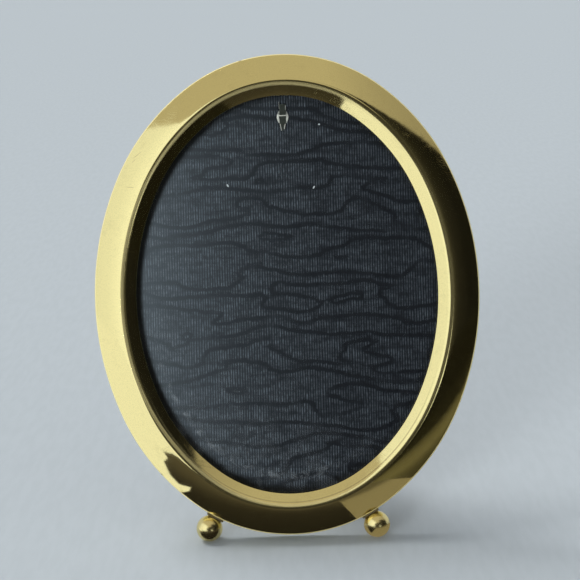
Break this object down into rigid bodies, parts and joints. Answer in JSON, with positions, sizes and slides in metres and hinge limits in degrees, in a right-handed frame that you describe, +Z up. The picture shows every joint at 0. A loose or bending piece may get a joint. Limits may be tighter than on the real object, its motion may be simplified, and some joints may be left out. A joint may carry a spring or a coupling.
{
  "type": "oval picture frame",
  "caption": "Oval brass photo frame with a bevelled pressed front, flat glass, dark moire backing, ball feet, a folding easel leg and a hanging ring",
  "frame": {"origin": "centre of the footprint at the floor, under the middle of the frame and its open leg", "axes": "+Z up, -Y towards the viewer, +X to the viewer's right; the face leans back 15 degrees"},
  "size_m": [0.158, 0.0688, 0.1935],
  "materials": {
    "polished_brass": "polished, lacquered",
    "ball_brass": "polished",
    "ring_brass": "mill finish",
    "button_brass": "satin",
    "rivet_brass": "satin",
    "dark_brass": "tarnished",
    "hinge_metal": "satin plated",
    "clip_metal": "nickelled",
    "steel": "bright zinc",
    "glass": "clear float",
    "moire": "moire, glued down",
    "back_cloth": "flocked cloth paper",
    "board": "grey-brown board, cut edge",
    "ribbon": "woven ribbon"
  },
  "bodies": {
    "frame": {"front_bezel": "polished_brass", "rear_ring": "ring_brass", "glass_pane": "glass", "moire_lining": "moire", "backing_board": "board", "back_cover": "back_cloth", "button_rivets": "rivet_brass", "foot_saddle_left": "dark_brass", "foot_saddle_right": "dark_brass", "ball_foot_left": "ball_brass", "ball_foot_right": "ball_brass", "foot_screws": "steel", "hinge_back_leaf": "hinge_metal", "hinge_pin": "steel", "hinge_rivets_back": "rivet_brass", "stay_ribbon": "ribbon", "ribbon_tack_back": "rivet_brass", "hanger_clip": "clip_metal", "hanger_eyelet": "clip_metal"},
    "leg": {"leg_board": "board", "leg_covers": "back_cloth", "hinge_leg_leaf": "hinge_metal", "hinge_rivets_leg": "rivet_brass", "ribbon_tack_leg": "rivet_brass"},
    "hanging_ring": {"hanger_ring": "clip_metal"},
    "button_top_right": {"turn_button_top_right": "button_brass"},
    "button_top_left": {"turn_button_top_left": "button_brass"},
    "button_bottom_left": {"turn_button_bottom_left": "button_brass"},
    "button_bottom_right": {"turn_button_bottom_right": "button_brass"}
  },
  "joints": [
    {"name": "leg_fold", "type": "hinge", "parent": "frame", "child": "leg", "pos_m": [0, 0.00883, 0.1316], "axis": [1, 0, 0], "range_deg": [-24, 0], "deforming": ["stay_ribbon"]},
    {"name": "ring_swing", "type": "hinge", "parent": "frame", "child": "hanging_ring", "pos_m": [0, 0.01844, 0.16899], "axis": [1, 0, 0], "range_deg": [-15, 160]},
    {"name": "button_turn_top_right", "type": "hinge", "parent": "frame", "child": "button_top_right", "pos_m": [0.04854, 0.0152, 0.16041], "axis": [0, -0.9659, 0.2588], "range_deg": [-110, 110]},
    {"name": "button_turn_top_left", "type": "hinge", "parent": "frame", "child": "button_top_left", "pos_m": [-0.04854, 0.0152, 0.16041], "axis": [0, -0.9659, 0.2588], "range_deg": [-110, 110]},
    {"name": "button_turn_bottom_left", "type": "hinge", "parent": "frame", "child": "button_bottom_left", "pos_m": [-0.04854, -0.01869, 0.03392], "axis": [0, -0.9659, 0.2588], "range_deg": [-110, 110]},
    {"name": "button_turn_bottom_right", "type": "hinge", "parent": "frame", "child": "button_bottom_right", "pos_m": [0.04854, -0.01869, 0.03392], "axis": [0, -0.9659, 0.2588], "range_deg": [-110, 110]}
  ]
}
